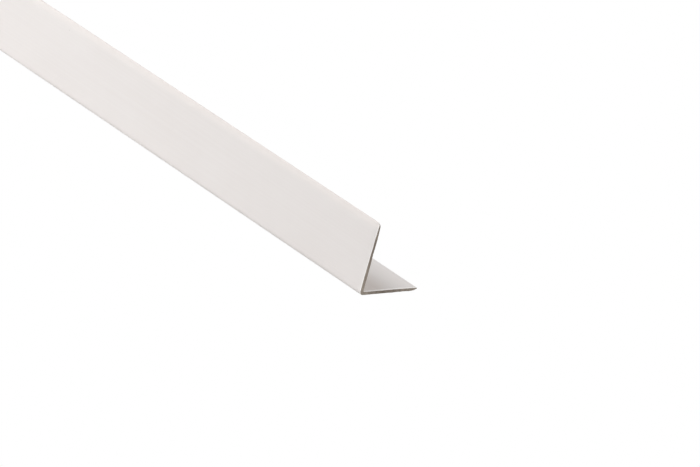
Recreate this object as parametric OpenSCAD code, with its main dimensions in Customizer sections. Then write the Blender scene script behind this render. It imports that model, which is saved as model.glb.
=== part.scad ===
// Corner strip: an equal-leg angle extruded in rigid PVC, worn over an outside corner.
// One leg lies flat and the other stands up. The strip runs along X, and its section lies
// in the YZ plane. The origin is midway along the strip, under the middle of the flat leg.

/* [Stock] */
// Length of the strip, sawn square at both ends
strip_length = 1000; // [100:50:3000]

/* [Section] */
// Width of the flat leg, over its outer face from the sharp corner to the tip
flat_leg = 25; // [20:1:60]
// Height of the standing leg, over its outer face from the sharp corner to the tip
standing_leg = 25; // [20:1:60]
// Thickness of both legs, up to where their inner faces thin towards the tips
wall = 1.3; // [1:0.1:2.5]
// Radius of the fillet inside the corner, where the legs meet
root_radius = 0.3; // [0.2:0.1:1.5]

/* [Tips] */
// Length of leg over which its inner face thins towards the tip, in one long arc
inner_run = 9.5; // [6:0.5:14]
// Depth that the long arc has taken off the inner face at the tip
inner_drop = 0.35; // [0.2:0.05:0.4]
// Length of leg over which its outer face rounds off towards the tip
outer_run = 2.5; // [1.5:0.1:4]
// Depth that the rounding has taken off the outer face at the tip
outer_drop = 0.7; // [0.3:0.05:0.7]

/* [Hidden] */
$fn = 720;

// The wall keeps its thickness round the bend, so both corner arcs share one centre
corner_radius = wall + root_radius;
// How far cutting shapes reach past the faces that they cut
overlap = 1;

// Radius of the arc that leaves a face smoothly and has fallen by drop after run
function arc_radius(run, drop) = (pow(run, 2) + pow(drop, 2)) / (2 * drop);

// What an arc takes off a leg that lies along +X from the outer corner. The face that it
// takes it off lies on Y = 0, with the plastic above it, and the arc ends at the leg's tip.
module tip_waste(leg, run, drop) {
    difference() {
        translate([leg - run, -overlap])
            square([run + overlap, overlap + drop]);
        translate([leg - run, arc_radius(run, drop)])
            circle(r = arc_radius(run, drop));
    }
}

// One leg from the outer corner to its tip, with its outer face on Y = 0
module leg(length) {
    difference() {
        square([length, wall]);
        tip_waste(length, outer_run, outer_drop);
        translate([0, wall])
            mirror([0, 1])
                tip_waste(length, inner_run, inner_drop);
    }
}

// The square of material outside the bend's outer arc
module corner_waste() {
    difference() {
        translate([-overlap, -overlap])
            square(overlap + corner_radius);
        translate([corner_radius, corner_radius])
            circle(r = corner_radius);
    }
}

// The web of material between the legs and the bend's inner arc
module root_fillet() {
    difference() {
        translate([wall, wall])
            square(root_radius);
        translate([corner_radius, corner_radius])
            circle(r = root_radius);
    }
}

// The whole section, with the sharp outer corner at the origin
module section() {
    difference() {
        union() {
            leg(flat_leg);
            mirror([1, -1]) leg(standing_leg);
            root_fillet();
        }
        corner_waste();
    }
}

// The strip itself: the section drawn along X and centred on the origin
module corner_strip() {
    color("whitesmoke")
        translate([-strip_length / 2, -flat_leg / 2, 0])
            rotate([90, 0, 90])
                linear_extrude(height = strip_length)
                    section();
}

corner_strip();
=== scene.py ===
# %% [markdown]
# This lesson dresses one length of white PVC corner strip, the angle that is glued over an
# outside corner to finish and protect it. A die draws the strip as one endless L, and a saw
# cuts it to length. Two things therefore need care: the smooth section that the die leaves,
# with its soft bend and thinned tips, and the rough brown-grey ends that the saw leaves.
# The plain solid of the strip is loaded first. It stays fixed, as a frame, and everything
# after it is made to its measure.

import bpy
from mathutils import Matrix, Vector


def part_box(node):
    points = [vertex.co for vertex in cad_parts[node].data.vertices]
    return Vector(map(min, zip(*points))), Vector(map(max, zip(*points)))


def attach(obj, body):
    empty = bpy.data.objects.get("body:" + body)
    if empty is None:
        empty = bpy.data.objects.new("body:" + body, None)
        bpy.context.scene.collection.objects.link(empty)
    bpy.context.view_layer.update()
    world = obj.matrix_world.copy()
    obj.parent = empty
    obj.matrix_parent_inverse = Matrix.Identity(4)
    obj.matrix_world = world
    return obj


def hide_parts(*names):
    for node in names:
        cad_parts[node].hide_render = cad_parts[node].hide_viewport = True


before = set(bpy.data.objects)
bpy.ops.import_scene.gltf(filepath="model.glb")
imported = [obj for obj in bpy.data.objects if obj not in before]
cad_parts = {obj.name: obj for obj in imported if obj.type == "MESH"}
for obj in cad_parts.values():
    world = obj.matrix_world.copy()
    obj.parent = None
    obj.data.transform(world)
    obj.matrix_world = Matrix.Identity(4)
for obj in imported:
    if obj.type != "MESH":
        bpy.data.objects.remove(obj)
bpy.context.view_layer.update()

# %% [markdown]
# Blender and the frame count in metres, while a strip like this is measured in millimetres,
# so each length below is written as a number times MM. The shape is worked on in a bmesh,
# which holds vertices, edges and faces outside any object until they are finished.

# %% Tools and units
import math

import bmesh
import bpy
from mathutils import Matrix, Vector, noise

MM = 0.001
print("one MM is", MM, "m")

# %% [markdown]
# The strip's own sizes come first. Its length and both legs are read from the frame, while
# the wall, the bend and the tips repeat the part's source. The wall keeps its thickness
# round the bend, so the bend's inner and outer arc share one centre. Towards each tip the
# inner face thins in one long arc, and the outer face rounds off in a short one.

# %% Sizes of the section
strip_low, strip_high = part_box("corner_strip")
WALL = 1.3 * MM
ROOT_RADIUS = 0.3 * MM
INNER_RUN = 9.5 * MM
INNER_DROP = 0.35 * MM
OUTER_RUN = 2.5 * MM
OUTER_DROP = 0.7 * MM
BEND_RADIUS = WALL + ROOT_RADIUS
print("length and legs:", [round(v / MM, 2) for v in strip_high - strip_low], "mm")

# %% [markdown]
# A pen draws the outline of the section on the plane of one cut. The pen is a single vertex:
# extruding it draws a straight run, and spinning it about a centre draws an arc, just as a
# draughtsman uses a ruler and a compass. Typing in every corner point would also work, but
# each arc would then be a row of numbers that nobody can read or change. The saw will need
# points to pull ragged, so nothing on the outline is longer than 0.4 mm.

# %% The pen
OUTLINE_STEP = 0.4 * MM
ARC_STEP = math.radians(7.5)


def draw_line(bm, pen, y, z):
    """Extrude the pen straight to a point, in short steps, and give back the last vertex."""
    way = Vector((0, y - pen.co.y, z - pen.co.z))
    steps = math.ceil(way.length / OUTLINE_STEP)
    for _ in range(steps):
        spot = pen.co + way / steps
        pen = bmesh.ops.extrude_vert_indiv(bm, verts=[pen])["verts"][0]
        pen.co = spot
    return pen


def draw_arc(bm, pen, centre_y, centre_z, angle):
    """Spin the pen about a centre and give back the last vertex of the arc."""
    radius = math.hypot(pen.co.y - centre_y, pen.co.z - centre_z)
    steps = math.ceil(max(abs(angle) / ARC_STEP, abs(angle) * radius / OUTLINE_STEP))
    made = bmesh.ops.spin(
        bm, geom=[pen], cent=(pen.co.x, centre_y, centre_z), axis=(1, 0, 0),
        dvec=(0, 0, 0), angle=angle, steps=steps, use_duplicate=False)
    return next(part for part in made["geom_last"] if isinstance(part, bmesh.types.BMVert))


def tip_arc(run, drop):
    """Radius and angle of the arc that leaves a face smoothly and falls by drop in run."""
    radius = (run ** 2 + drop ** 2) / (2 * drop)
    return radius, math.asin(run / radius)


outer_radius, outer_angle = tip_arc(OUTER_RUN, OUTER_DROP)
inner_radius, inner_angle = tip_arc(INNER_RUN, INNER_DROP)
print("radii of the tips:", [round(v / MM, 1) for v in (outer_radius, inner_radius)], "mm")

# %% [markdown]
# The pen starts at the foot of the bend and goes round with the plastic on its left: under
# the flat leg, round its tip, back along the inner face, through the root, up the standing
# leg, over its tip and down the outer face. Only the root turns the other way.

# %% Draw the outline
QUARTER = math.pi / 2
cut_x, left, floor_z = strip_low
right, top = strip_high.y, strip_high.z
inner_y, inner_z = left + WALL, floor_z + WALL

bm = bmesh.new()
start = bm.verts.new((cut_x, left + BEND_RADIUS, floor_z))
pen = draw_line(bm, start, right - OUTER_RUN, floor_z)
pen = draw_arc(bm, pen, right - OUTER_RUN, floor_z + outer_radius, outer_angle)
pen = draw_line(bm, pen, right, inner_z - INNER_DROP)
arc_centre = Vector((right - INNER_RUN, inner_z - inner_radius))
pen = draw_arc(bm, pen, arc_centre.x, arc_centre.y, inner_angle)
pen = draw_line(bm, pen, left + BEND_RADIUS, inner_z)
pen = draw_arc(bm, pen, left + BEND_RADIUS, floor_z + BEND_RADIUS, -QUARTER)
pen = draw_line(bm, pen, inner_y, top - INNER_RUN)
pen = draw_arc(bm, pen, inner_y - inner_radius, top - INNER_RUN, inner_angle)
pen = draw_line(bm, pen, left + OUTER_DROP, top)
pen = draw_arc(bm, pen, left + outer_radius, top - OUTER_RUN, outer_angle)
pen = draw_line(bm, pen, left, floor_z + BEND_RADIUS)
pen = draw_arc(bm, pen, left + BEND_RADIUS, floor_z + BEND_RADIUS, QUARTER)
print("gap where the outline closes:", round((pen.co - start.co).length / MM, 6), "mm")
bmesh.ops.remove_doubles(bm, verts=bm.verts, dist=0.001 * MM)
print("outline:", len(bm.verts), "vertices,", len(bm.edges), "edges")

# %% [markdown]
# One face fills the outline, and extruding it makes the strip, as the die does. The blunt
# end of each tip has two hard edges that no die would hold, so a small bevel rounds them.

# %% Extrude the strip
TIP_BEVEL = 0.1 * MM
BEVEL_SEGMENTS = 3
bmesh.ops.contextual_create(bm, geom=bm.edges[:])
drawn = bmesh.ops.extrude_face_region(bm, geom=bm.faces[:], use_keep_orig=True)["geom"]
other_end = [part for part in drawn if isinstance(part, bmesh.types.BMVert)]
bmesh.ops.translate(bm, verts=other_end, vec=(strip_high.x - strip_low.x, 0, 0))
bmesh.ops.recalc_face_normals(bm, faces=bm.faces)


def is_long_hard_edge(edge):
    """True for an edge that runs along the strip and turns by more than the arcs do."""
    runs_along = abs(edge.verts[0].co.x - edge.verts[1].co.x) > MM
    return runs_along and edge.calc_face_angle() > 2 * ARC_STEP


hard_edges = [edge for edge in bm.edges if is_long_hard_edge(edge)]
bmesh.ops.bevel(
    bm, geom=hard_edges, offset=TIP_BEVEL, offset_type="OFFSET", affect="EDGES",
    segments=BEVEL_SEGMENTS, profile=0.5, material=-1, clamp_overlap=True)
print("rounded", len(hard_edges), "edges, strip:", len(bm.faces), "faces")

# %% [markdown]
# The saw and the scraper only disturb the last millimetre, so that is where the mesh needs
# loops, and they lie closest together at the cut itself. A bisecting plane cuts a ring of
# edges wherever it passes, which is quicker and safer than building the ends as separate
# pieces. A few wide rings also part the long faces between the two ends.

# %% Cut rings round the strip
RING_DEPTHS_MM = (0.06, 0.15, 0.3, 0.5, 0.75, 1.0, 3.0, 10.0)
LONG_RINGS = 24


def cut_ring(x):
    """Cut the whole mesh across at x and keep both sides."""
    bmesh.ops.bisect_plane(
        bm, geom=bm.verts[:] + bm.edges[:] + bm.faces[:], dist=0.0001 * MM,
        plane_co=(x, 0, 0), plane_no=(1, 0, 0))


for depth_mm in RING_DEPTHS_MM:
    cut_ring(strip_low.x + depth_mm * MM)
    cut_ring(strip_high.x - depth_mm * MM)
for step in range(1, LONG_RINGS):
    cut_ring(strip_low.x + (strip_high.x - strip_low.x) * step / LONG_RINGS)
print("rings cut:", 2 * len(RING_DEPTHS_MM) + LONG_RINGS - 1, "faces:", len(bm.faces))

# %% [markdown]
# A sawn edge is never a clean line, so how deep each spot goes is left to smooth noise. The
# noise lies in the plane of the section and has two sizes, a coarse one that makes the edge
# wander and a fine one that makes it crumble. A random number for each vertex would be
# simpler, but neighbours would then have nothing to do with each other, as on a grater.

# %% Noise for torn plastic
COARSE = 2.6 * MM
FINE = 0.7 * MM
COARSE_SHARE = 0.8
FINE_SHARE = 0.5
FINE_SEED = 50.0
LOW_END_SEED = 3.0
HIGH_END_SEED = 11.0


def raggedness(spot, seed):
    """Smooth noise from 0 to 1 at a spot of the section, coarse with a little fine on top."""
    coarse = noise.noise(Vector((spot.y / COARSE, spot.z / COARSE, seed)))
    fine = noise.noise(Vector((spot.y / FINE, spot.z / FINE, seed + FINE_SEED)))
    return min(1.0, max(0.0, 0.5 + COARSE_SHARE * coarse + FINE_SHARE * fine))


samples = [raggedness(vert.co, LOW_END_SEED) for vert in bm.verts]
print("noise runs from", round(min(samples), 2), "to", round(max(samples), 2))

# %% [markdown]
# How far a vertex near a cut may move depends on where it sits, so three small questions
# come first: how thick the leg is there, which way its skin faces, and how much of the wear
# is left at its distance.

# %% Where a vertex sits
def thickness(from_tip):
    """Thickness of a leg this far from its tip, once both its faces have fallen away."""
    left_over = WALL
    for run, radius in ((OUTER_RUN, outer_radius), (INNER_RUN, inner_radius)):
        into_arc = max(0.0, run - from_tip)
        left_over -= radius - math.sqrt(radius ** 2 - into_arc ** 2)
    return left_over


def side_normal(vert):
    """Mean normal of the long faces round a vertex, across the strip."""
    total = Vector((0, 0, 0))
    for face in vert.link_faces:
        if abs(face.normal.x) < 0.5:
            total += face.normal
    return total.normalized()


def fade(distance, reach):
    """1 at distance 0, falling evenly to 0 at reach."""
    return max(0.0, 1 - distance / reach)


print("wall at the tips:", round(thickness(0) / MM, 2), "mm")

# %% [markdown]
# Each edge of the cut has been treated in its own way. Scraping off the burr has left a
# narrow rounding along the inner edge of the flat leg, from near the root to near the tip,
# and a wider one on the outer edge of the standing leg that grows towards its tip. The inner
# edge of the standing leg took a knock above its middle. The bottom edge keeps small chips.
# Everything moves into the plastic, so the strip never grows past the size it was drawn at,
# and never by more than part of the wall, which is only a quarter of a millimetre at a tip.

# %% What the saw and the scraper take off
FLAT_SCRAPE = 0.16 * MM
FLAT_REACH = 0.3 * MM  # how far behind the cut the scrape fades out
TIP_SPARED = 4 * MM  # the scrape thins out over this much before the tip
ROOT_SPARED = 1 * MM
STANDING_SCRAPE = 0.30 * MM
STANDING_REACH = 0.9 * MM
SCRAPE_STARTS = 8 * MM  # height up the standing leg
SCRAPE_FULL = 22 * MM
KNOCK = 0.20 * MM
KNOCK_HEIGHT = 14.5 * MM
KNOCK_SPAN = 5 * MM
OUTER_CHIP = 0.03 * MM
BOTTOM_CHIP = 0.14 * MM
CHIP_REACH = 0.4 * MM
BLUNT_END = 0.12 * MM  # the blunt end of a tip stays as it was drawn
MOST_OF_WALL = 0.4
STEADY_SCRAPE = 0.8  # this much of a scrape is even, and the noise adds the rest
UNEVEN_SCRAPE = 0.4
FACES_THAT_WAY = 0.9  # a normal whose part along an axis is larger points along it


def saw_shift(vert, depth, seed):
    """How far a vertex at this depth behind the cut is pushed into the plastic."""
    from_tip = min(right - vert.co.y, top - vert.co.z)
    if from_tip < BLUNT_END:
        return Vector((0, 0, 0))
    out = side_normal(vert)
    height = vert.co.z - floor_z
    rough = raggedness(vert.co, seed)
    chipped = rough * fade(depth, CHIP_REACH) ** 2
    scraped = STEADY_SCRAPE + UNEVEN_SCRAPE * rough
    if out.z > FACES_THAT_WAY:
        from_root = max(0.0, vert.co.y - inner_y)
        along_leg = min(1.0, from_tip / TIP_SPARED, from_root / ROOT_SPARED)
        taken = FLAT_SCRAPE * scraped * along_leg * fade(depth, FLAT_REACH)
    elif out.y > FACES_THAT_WAY:
        taken = KNOCK * chipped * fade(abs(height - KNOCK_HEIGHT), KNOCK_SPAN)
    elif out.z < -FACES_THAT_WAY:
        taken = BOTTOM_CHIP * chipped
    else:
        growth = min(1.0, max(0.0, (height - SCRAPE_STARTS) / (SCRAPE_FULL - SCRAPE_STARTS)))
        taken = STANDING_SCRAPE * growth * scraped * fade(depth, STANDING_REACH)
        taken += OUTER_CHIP * chipped
    return -out * min(taken, MOST_OF_WALL * thickness(from_tip))


print("most that a tip can lose:", round(MOST_OF_WALL * thickness(0) / MM, 2), "mm")

# %% [markdown]
# The shifts are worked out for all vertices first and only then carried out, because each
# one leans on the normals of faces that the others would have bent by then. The cut itself
# also wanders a little along the strip, as a thin blade does.

# %% Ragged sawn edges
SAW_WANDER = 0.05 * MM
AT_THE_CUT = 0.001 * MM
WANDER_SEED = 20

shifts = {}
for end_x, inward, seed in ((strip_low.x, 1, LOW_END_SEED), (strip_high.x, -1, HIGH_END_SEED)):
    for vert in bm.verts:
        depth = abs(vert.co.x - end_x)
        if depth < STANDING_REACH:
            shifts[vert] = saw_shift(vert, depth, seed)
        if depth < AT_THE_CUT:
            wander = SAW_WANDER * raggedness(vert.co, seed + WANDER_SEED)
            shifts[vert] += Vector((inward * wander, 0, 0))
for vert, shift in shifts.items():
    vert.co += shift
print("largest shift:", round(max(shift.length for shift in shifts.values()) / MM, 3), "mm")

# %% [markdown]
# The corner where the standing leg's tip meets a cut is the first to be knocked in a rack,
# and the one at the near end is worn quite round. The square of leg that holds the corner is
# pressed into a quarter disc, each nested square onto its own arc, so no two vertices meet
# and the wall stays as thick as it was. A bevel would cut through the ragged edge instead.

# %% Worn corners
NEAR_WEAR = 1.35 * MM
FAR_WEAR = 0.6 * MM


def wear_corner(depth, from_tip, radius):
    """New depth and distance from the tip for a spot near a corner of this radius."""
    a, b = radius - depth, radius - from_tip
    if a <= 0 or b <= 0:
        return depth, from_tip
    shrink = max(a, b) / math.hypot(a, b)
    return radius - a * shrink, radius - b * shrink


worn = 0
for end_x, inward, radius in ((strip_high.x, -1, NEAR_WEAR), (strip_low.x, 1, FAR_WEAR)):
    for vert in bm.verts:
        depth = abs(vert.co.x - end_x)
        if depth > radius:
            continue
        new_depth, from_top = wear_corner(depth, top - vert.co.z, radius)
        worn += new_depth != depth
        vert.co.z = top - from_top
        vert.co.x = end_x + inward * new_depth
print("worn vertices:", worn)

# %% [markdown]
# Smooth shading hides the facets of the arcs. It has to stop at the cut, or the light would
# seem to roll round a corner that is sharp, so the edges of the sawn faces are marked sharp.
# The sawn faces also get the second material.

# %% Sort the faces into skin and cut
SKIN, SAWN = 0, 1
MOST_SIDES_OF_SKIN = 8
for face in bm.faces:
    is_cut = len(face.verts) > MOST_SIDES_OF_SKIN
    face.material_index = SAWN if is_cut else SKIN
    face.smooth = not is_cut
for edge in bm.edges:
    kinds = {face.material_index for face in edge.link_faces}
    edge.smooth = len(kinds) == 1
cut_faces = [face for face in bm.faces if face.material_index == SAWN]
print("cut faces:", len(cut_faces))
bmesh.ops.triangulate(bm, faces=cut_faces, quad_method="BEAUTY", ngon_method="BEAUTY")

# %% [markdown]
# The finished bmesh is written into a mesh, and the mesh goes into an object. The object
# stays at the origin and isn't turned, because its place is already in its vertices.

# %% Make the mesh an object
mesh = bpy.data.meshes.new("pvc_corner_strip")
bm.to_mesh(mesh)
bm.free()
strip = bpy.data.objects.new("pvc_corner_strip", mesh)
bpy.context.scene.collection.objects.link(strip)
print("triangles:", sum(len(polygon.vertices) - 2 for polygon in mesh.polygons))

# %% [markdown]
# Every material is built by one helper that adds a node with its settings and links, and all
# colours are written as the hex values that a paint program shows.

# %% Helpers for materials
def linear(hex_code):
    """An sRGB hex colour as the linear RGBA that a shader socket takes."""
    parts = [int(hex_code[k:k + 2], 16) / 255 for k in (1, 3, 5)]
    return [c / 12.92 if c <= 0.04045 else ((c + 0.055) / 1.055) ** 2.4 for c in parts] + [1.0]


def add_node(tree, kind, settings=None, **sockets):
    """Add a node, set its options, then fill or link its inputs by name or by _index."""
    node = tree.nodes.new(kind)
    for name, value in (settings or {}).items():
        setattr(node, name, value)
    for name, value in sockets.items():
        key = int(name[1:]) if name[1:].isdigit() else name.replace("_", " ")
        if isinstance(value, bpy.types.NodeSocket):
            tree.links.new(value, node.inputs[key])
        else:
            node.inputs[key].default_value = value
    return node


def new_material(name):
    """A node material with its tree, its Principled shader and its object coordinates."""
    material = bpy.data.materials.new(name)
    material.use_nodes = True
    tree = material.node_tree
    place = add_node(tree, "ShaderNodeTexCoord").outputs["Object"]
    return material, tree, tree.nodes["Principled BSDF"], place


print("the mid-grey #808080 is", round(linear("#808080")[0], 3), "to a shader")

# %% [markdown]
# The skin is rigid PVC as the die leaves it, an opaque, faintly warm white with a low sheen.
# What keeps it from looking like paint is that the die draws hair-fine lines along the strip
# and that the melt leaves soft clouds a few centimetres wide. Noise makes all of it: for the
# lines it is stretched two hundred times along the strip. Real die lines are finer than a
# pixel of the picture, so theirs is as coarse as it has to be to show.

# %% Patterns in the skin
LINE_PITCH = 0.7 * MM
LINE_LENGTH = 150 * MM
CLOUD_SIZE = 28 * MM
GRAIN_SIZE = 0.25 * MM

skin, tree, shader, place = new_material("extruded_rigid_pvc")
stretched = add_node(tree, "ShaderNodeMapping", Vector=place,
                     Scale=(1 / LINE_LENGTH, 1 / LINE_PITCH, 1 / LINE_PITCH)).outputs["Vector"]
die_lines = add_node(tree, "ShaderNodeTexNoise", Vector=stretched,
                     Scale=1.0, Detail=2.0).outputs["Fac"]
clouds = add_node(tree, "ShaderNodeTexNoise", Vector=place,
                  Scale=1 / CLOUD_SIZE, Detail=3.0).outputs["Fac"]
grain = add_node(tree, "ShaderNodeTexNoise", Vector=place,
                 Scale=1 / GRAIN_SIZE, Detail=2.0).outputs["Fac"]
print("die lines", round(LINE_LENGTH / LINE_PITCH), "times as long as they are wide")

# %% [markdown]
# The colour follows both patterns, each between two whites that lie close together. A single
# white would look painted on, and whites that lay further apart would look like marble.

# %% Colour of the skin
LINES_SHARE = 0.35
cloudy = add_node(tree, "ShaderNodeMix", {"data_type": "RGBA"},
                  _0=clouds, _6=linear("#E3DDDA"), _7=linear("#E9E5E3")).outputs[2]
lined = add_node(tree, "ShaderNodeMix", {"data_type": "RGBA"},
                 _0=die_lines, _6=linear("#DFD9D6"), _7=linear("#EBE8E6")).outputs[2]
body = add_node(tree, "ShaderNodeMix", {"data_type": "RGBA"},
                _0=LINES_SHARE, _6=cloudy, _7=lined).outputs[2]
print("the die lines make", round(100 * LINES_SHARE), "% of the colour")

# %% [markdown]
# The standing leg shades the root of the flat leg, and that shade is painted into the colour
# as a warm tint. It only lies on what faces up, so the upward part of the surface's normal
# says where it goes, and the distance from the standing leg says how strong the painted shade
# still is.

# %% Painted warm shade in the corner
SHADE_TINT_FULL = 5 * MM
SHADE_TINT_ENDS = 16 * MM
SHADE_TINT_COVERS = 0.35

facing = add_node(tree, "ShaderNodeNewGeometry").outputs["Normal"]
upward = add_node(tree, "ShaderNodeSeparateXYZ", Vector=facing).outputs["Z"]
across = add_node(tree, "ShaderNodeSeparateXYZ", Vector=place).outputs["Y"]
near_root = add_node(tree, "ShaderNodeMapRange", {"interpolation_type": "SMOOTHSTEP"},
                     Value=across, From_Min=inner_y + SHADE_TINT_FULL, From_Max=inner_y + SHADE_TINT_ENDS,
                     To_Min=SHADE_TINT_COVERS, To_Max=0.0).outputs[0]
# painted shade: a warm tint where the standing leg shades the flat leg
shade_tint = add_node(tree, "ShaderNodeMath", {"operation": "MULTIPLY", "use_clamp": True},
                _0=near_root, _1=upward).outputs[0]
shade_tinted = add_node(tree, "ShaderNodeMix", {"data_type": "RGBA"},
                  _0=shade_tint, _6=body, _7=linear("#E8D9CE")).outputs[2]
# the reach printed here is that of the painted warm shade
print("dust reaches", round((SHADE_TINT_ENDS + WALL) / MM, 1), "mm across the flat leg")

# %% [markdown]
# Two marks break the white. The saw bruises the last millimetre at each end, which goes
# paler, as any PVC does where it is stressed, and the pale band is also a painted highlight
# that lifts the scraped edge, which turns away from the light. And one grey speck of burnt
# resin sits in the outer face, a little under the tip. Both are placed by their distance: the
# bruise and highlight from the middle of the strip, the speck from a point.

# %% Bruised ends with a painted highlight, and a speck
BRUISE_AND_HIGHLIGHT_WIDTH = 0.8 * MM
BRUISE_AND_HIGHLIGHT_PALES = 0.95
SPECK_SIZE = 0.16 * MM
SPECK_COVERS = 0.5
SPECK_PLACE = Vector((strip_high.x - 162.5 * MM, left, floor_z + 21.7 * MM))

along = add_node(tree, "ShaderNodeSeparateXYZ", Vector=place).outputs["X"]
from_middle = add_node(tree, "ShaderNodeMath", {"operation": "ABSOLUTE"}, _0=along).outputs[0]
# paler band at each end: stress whitening and a painted highlight
bruise_and_highlight = add_node(tree, "ShaderNodeMapRange", {"interpolation_type": "SMOOTHSTEP"},
                  Value=from_middle, From_Min=strip_high.x - BRUISE_AND_HIGHLIGHT_WIDTH,
                  From_Max=strip_high.x, To_Max=BRUISE_AND_HIGHLIGHT_PALES).outputs[0]
bruised_and_highlighted = add_node(tree, "ShaderNodeMix", {"data_type": "RGBA"},
                   _0=bruise_and_highlight, _6=shade_tinted, _7=linear("#F6F3F0")).outputs[2]

from_speck = add_node(tree, "ShaderNodeVectorMath", {"operation": "DISTANCE"},
                      _0=place, _1=SPECK_PLACE).outputs["Value"]
speck = add_node(tree, "ShaderNodeMapRange", {"interpolation_type": "SMOOTHSTEP"},
                 Value=from_speck, From_Min=SPECK_SIZE / 2, From_Max=SPECK_SIZE,
                 To_Min=SPECK_COVERS, To_Max=0.0).outputs[0]
colour = add_node(tree, "ShaderNodeMix", {"data_type": "RGBA"},
                  _0=speck, _6=bruised_and_highlighted, _7=linear("#8E8983")).outputs[2]
print("speck at", [round(v / MM, 1) for v in SPECK_PLACE], "mm")

# %% [markdown]
# Extruded PVC usually has a roughness near 0.5. This strip shows no highlight even where its
# tip rounds off, so it is duller, from 0.7 to 0.8, and its roughness follows the clouds. The
# relief is only a few thousandths of a millimetre high, as a die leaves it: its lines, and a
# fine grain over them. Such a relief belongs in the normals, not in the mesh.

# %% Sheen and relief of the skin
LEAST_ROUGH, MOST_ROUGH = 0.70, 0.80
LINE_RELIEF = 0.003 * MM
GRAIN_RELIEF = 0.002 * MM
PVC_IOR = 1.53

gloss = add_node(tree, "ShaderNodeMapRange", Value=clouds,
                 To_Min=LEAST_ROUGH, To_Max=MOST_ROUGH).outputs[0]
line_bump = add_node(tree, "ShaderNodeBump", Strength=0.5, Distance=LINE_RELIEF,
                     Height=die_lines)
grain_bump = add_node(tree, "ShaderNodeBump", Strength=0.5, Distance=GRAIN_RELIEF,
                      Height=grain, Normal=line_bump.outputs["Normal"])
tree.links.new(colour, shader.inputs["Base Color"])
tree.links.new(gloss, shader.inputs["Roughness"])
tree.links.new(grain_bump.outputs["Normal"], shader.inputs["Normal"])
shader.inputs["IOR"].default_value = PVC_IOR
strip.data.materials.append(skin)
print("skin:", len(tree.nodes), "nodes")

# %% [markdown]
# The cut is the same plastic, torn open. Its tooth marks trap dust and swarf, which makes it
# brown-grey, and its dark tone is also painted shade, as the cut faces away from most of the
# light. The marks run across the wall, one for each tooth, and dust and crumbs lie over them
# at two sizes.

# %% Patterns in the cut
TOOTH_PITCH = 0.9 * MM
DUST_SIZE = 3.2 * MM
CRUMB_SIZE = 0.3 * MM

sawn, tree, shader, place = new_material("sawn_pvc")
turned = add_node(tree, "ShaderNodeMapping", Vector=place,
                  Rotation=(math.radians(45), 0, 0), Scale=(1, 1, 0.2)).outputs["Vector"]
teeth = add_node(tree, "ShaderNodeTexNoise", Vector=turned,
                 Scale=1 / TOOTH_PITCH, Detail=3.0).outputs["Fac"]
dust = add_node(tree, "ShaderNodeTexNoise", Vector=place,
                Scale=1 / DUST_SIZE, Detail=4.0).outputs["Fac"]
crumbs = add_node(tree, "ShaderNodeTexNoise", Vector=place,
                  Scale=1 / CRUMB_SIZE, Detail=2.0).outputs["Fac"]
print("teeth on one leg:", round((right - left) / TOOTH_PITCH))

# %% [markdown]
# On the near cut the dirt is thickest halfway along each leg, where no hand wipes it, and
# under the worn corner, while the heel of the bend is rubbed paler. A noise can't be told
# where to be dark, so these are spots given one by one, each with its own reach and strength.

# %% Colour of the cut
GROOVES_COVER = 0.35
CRUMBS_SHARE = 0.5
DIRTY, RUBBED = "#6D6055", "#B0A598"
SPOTS_MM = [  # across, height, reach, strength, colour
    (9.8, 0.0, 5.2, 0.70, DIRTY),
    (15.0, 0.0, 5.0, 0.45, DIRTY),
    (0.0, 16.5, 8.5, 0.65, DIRTY),
    (0.0, 24.0, 4.0, 0.65, DIRTY),
    (0.0, 0.0, 6.5, 0.40, RUBBED),
]

# the two base tones are dust and painted shade, far darker than the white plastic
dusty_and_shaded = add_node(tree, "ShaderNodeMix", {"data_type": "RGBA"},
                 _0=dust, _6=linear("#817469"), _7=linear("#ADA195")).outputs[2]
crumbly = add_node(tree, "ShaderNodeMix", {"data_type": "RGBA"},
                   _0=crumbs, _6=linear("#6D6256"), _7=linear("#C6BDB1")).outputs[2]
torn = add_node(tree, "ShaderNodeMix", {"data_type": "RGBA"},
                _0=CRUMBS_SHARE, _6=dusty_and_shaded, _7=crumbly).outputs[2]
grooves = add_node(tree, "ShaderNodeMapRange", {"interpolation_type": "SMOOTHSTEP"},
                   Value=teeth, From_Min=0.4, From_Max=0.6,
                   To_Min=GROOVES_COVER, To_Max=0.0).outputs[0]
colour = add_node(tree, "ShaderNodeMix", {"data_type": "RGBA"},
                  _0=grooves, _6=torn, _7=linear("#5F554A")).outputs[2]
for across_mm, height_mm, reach_mm, strength, shade in SPOTS_MM:
    spot = Vector((strip_high.x, left + across_mm * MM, floor_z + height_mm * MM))
    distance = add_node(tree, "ShaderNodeVectorMath", {"operation": "DISTANCE"},
                        _0=place, _1=spot).outputs["Value"]
    near_spot = add_node(tree, "ShaderNodeMapRange", {"interpolation_type": "SMOOTHSTEP"},
                         Value=distance, From_Max=reach_mm * MM, To_Min=strength,
                         To_Max=0.0).outputs[0]
    colour = add_node(tree, "ShaderNodeMix", {"data_type": "RGBA"},
                      _0=near_spot, _6=colour, _7=linear(shade)).outputs[2]
print("spots on the near cut:", len(SPOTS_MM))

# %% [markdown]
# Torn plastic scatters light, so the cut is rougher than the skin. The tooth marks are by
# far the deepest relief on the strip, and the crumbs lie on them.

# %% Relief of the cut
TOOTH_RELIEF = 0.05 * MM
CRUMB_RELIEF = 0.02 * MM
TORN_ROUGH = 0.85

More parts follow.
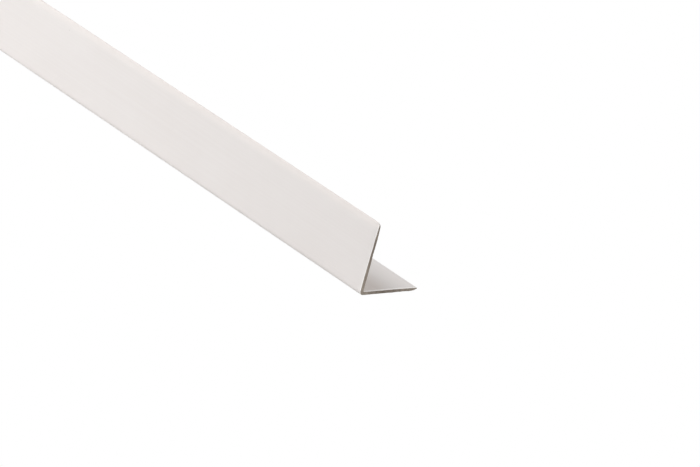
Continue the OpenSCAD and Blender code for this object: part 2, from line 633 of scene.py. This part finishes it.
tooth_bump = add_node(tree, "ShaderNodeBump", Strength=0.8, Distance=TOOTH_RELIEF,
                      Height=teeth)
crumb_bump = add_node(tree, "ShaderNodeBump", Strength=0.6, Distance=CRUMB_RELIEF,
                      Height=crumbs, Normal=tooth_bump.outputs["Normal"])
tree.links.new(colour, shader.inputs["Base Color"])
tree.links.new(crumb_bump.outputs["Normal"], shader.inputs["Normal"])
shader.inputs["Roughness"].default_value = TORN_ROUGH
shader.inputs["IOR"].default_value = PVC_IOR
strip.data.materials.append(sawn)
print("cut:", len(tree.nodes), "nodes")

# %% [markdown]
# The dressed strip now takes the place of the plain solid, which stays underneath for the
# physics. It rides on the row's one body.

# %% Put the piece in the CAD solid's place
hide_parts("corner_strip")
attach(strip, "root")
print("dressed strip:", strip.name, "with", len(strip.data.materials), "materials")

# %% [markdown]
# The strip lies on a sheet of white studio paper that is lit until it shows no shadow, as a
# catalogue picture has it. To the camera the paper is pure white. To the light it is only
# a pale grey sheet, or its glow would fill the shade inside the corner and under the bend.

# %% Floor
FLOOR_HALF = 12.0
PAPER_BOUNCE = 0.74
PAPER_ROUGH = 0.9

ground = bmesh.new()
bmesh.ops.create_grid(ground, x_segments=1, y_segments=1, size=FLOOR_HALF)
floor_mesh = bpy.data.meshes.new("studio_floor")
ground.to_mesh(floor_mesh)
ground.free()
floor = bpy.data.objects.new("studio_floor", floor_mesh)
bpy.context.scene.collection.objects.link(floor)
paper, tree, shader, place = new_material("matt_white_paper")
shader.inputs["Base Color"].default_value = (PAPER_BOUNCE, PAPER_BOUNCE, PAPER_BOUNCE, 1)
shader.inputs["Roughness"].default_value = PAPER_ROUGH
white = add_node(tree, "ShaderNodeEmission", Color=(1, 1, 1, 1), Strength=1.0)
seen = add_node(tree, "ShaderNodeLightPath")
blend = add_node(tree, "ShaderNodeMixShader", _0=seen.outputs["Is Camera Ray"],
                 _1=shader.outputs["BSDF"], _2=white.outputs["Emission"])
tree.links.new(blend.outputs["Shader"], tree.nodes["Material Output"].inputs["Surface"])
floor.data.materials.append(paper)
print("floor:", 2 * FLOOR_HALF, "m across")

# %% [markdown]
# The light in a catalogue picture is soft. A softbox is a lamp behind a sheet of white cloth,
# and a rectangular area light is the same thing in Blender. A studio is set up by walking
# round the object, so a direction is given as azimuth and elevation, and each box is then
# turned to face what it lights.

# %% Softboxes
def toward(azimuth, elevation):
    """Unit vector from the strip to a viewer at this azimuth and elevation, in degrees."""
    turn, rise = math.radians(azimuth), math.radians(elevation)
    across = math.cos(rise)
    return Vector((math.sin(turn) * across, -math.cos(turn) * across, math.sin(rise)))


def add_softbox(name, aim, way, distance, width, height, watts):
    """A rectangular area light that faces aim from this far out on its way."""
    lamp = bpy.data.lights.new(name, "AREA")
    lamp.shape = "RECTANGLE"
    lamp.size = width
    lamp.size_y = height
    lamp.energy = watts
    holder = bpy.data.objects.new(name, lamp)
    holder.location = aim + way * distance
    holder.rotation_mode = "QUATERNION"
    holder.rotation_quaternion = (-way).to_track_quat("-Z", "Y")
    bpy.context.scene.collection.objects.link(holder)


print("halfway up in front is", [round(v, 2) for v in toward(0, 45)])

# %% [markdown]
# The room's own light fills in everywhere. Three softboxes a little longer than the strip lie
# along it: one stands on the paper before the outer face, one hangs over the strip, and a
# weak one behind it lifts the inside of the corner. The front one sits further along, because
# the outer face grows paler away from the near end. Two more stand off to the left and the
# right of that end. The standing leg keeps the front, top and left ones off the root of the
# flat leg, and that shade is what shows the corner.

# %% Light
ROOM_LIGHT = 0.3
FURTHER_ALONG = 150 * MM

world = bpy.data.worlds.new("studio")
bpy.context.scene.world = world
world.use_nodes = True
world.node_tree.nodes["Background"].inputs["Color"].default_value = (1, 1, 1, 1)
world.node_tree.nodes["Background"].inputs["Strength"].default_value = ROOM_LIGHT

near_end = Vector((strip_high.x, left, floor_z))
middle = Vector((0, left, floor_z))
further = middle - Vector((FURTHER_ALONG, 0, 0))
add_softbox("front_softbox", further, toward(0, 3.6),
            distance=0.65, width=1.2, height=0.08, watts=2.5)
add_softbox("top_softbox", middle, toward(0, 65),
            distance=0.8, width=1.2, height=0.3, watts=1.65)
add_softbox("back_softbox", middle, toward(180, 20),
            distance=1.0, width=1.2, height=0.4, watts=2.0)
add_softbox("left_softbox", near_end, toward(-30, 50),
            distance=1.5, width=0.9, height=0.6, watts=7.1)
add_softbox("right_softbox", near_end, toward(100, 30),
            distance=1.5, width=0.9, height=0.6, watts=9.15)
print("softboxes:", len(bpy.data.lights))

# %% [markdown]
# The camera stands where the photographer stood: low, in front of the near end, with a long
# lens, and tilted so that the strip runs off steeply towards the upper left. Its place comes
# from the directions of the strip's edges in the picture and from the two legs' equal size.

# %% Camera
CAMERA_AZIMUTH = 43.75
CAMERA_ELEVATION = 20.18
CAMERA_ROLL = 15.39
CAMERA_DISTANCE = 1.4926
LENS = 242.35
AIM = near_end + Vector((-11.14 * MM, 0, 16.53 * MM))

camera_data = bpy.data.cameras.new("camera")
camera_data.sensor_width = 36
camera_data.lens = LENS
camera = bpy.data.objects.new("camera", camera_data)
bpy.context.scene.collection.objects.link(camera)
bpy.context.scene.camera = camera
back = toward(CAMERA_AZIMUTH, CAMERA_ELEVATION)
camera.location = AIM + back * CAMERA_DISTANCE
camera.rotation_mode = "QUATERNION"
roll = Matrix.Rotation(math.radians(CAMERA_ROLL), 3, "Z").to_quaternion()
camera.rotation_quaternion = (-back).to_track_quat("-Z", "Y") @ roll
bpy.context.scene.view_settings.view_transform = "Standard"
print("camera at", [round(v, 3) for v in camera.location])
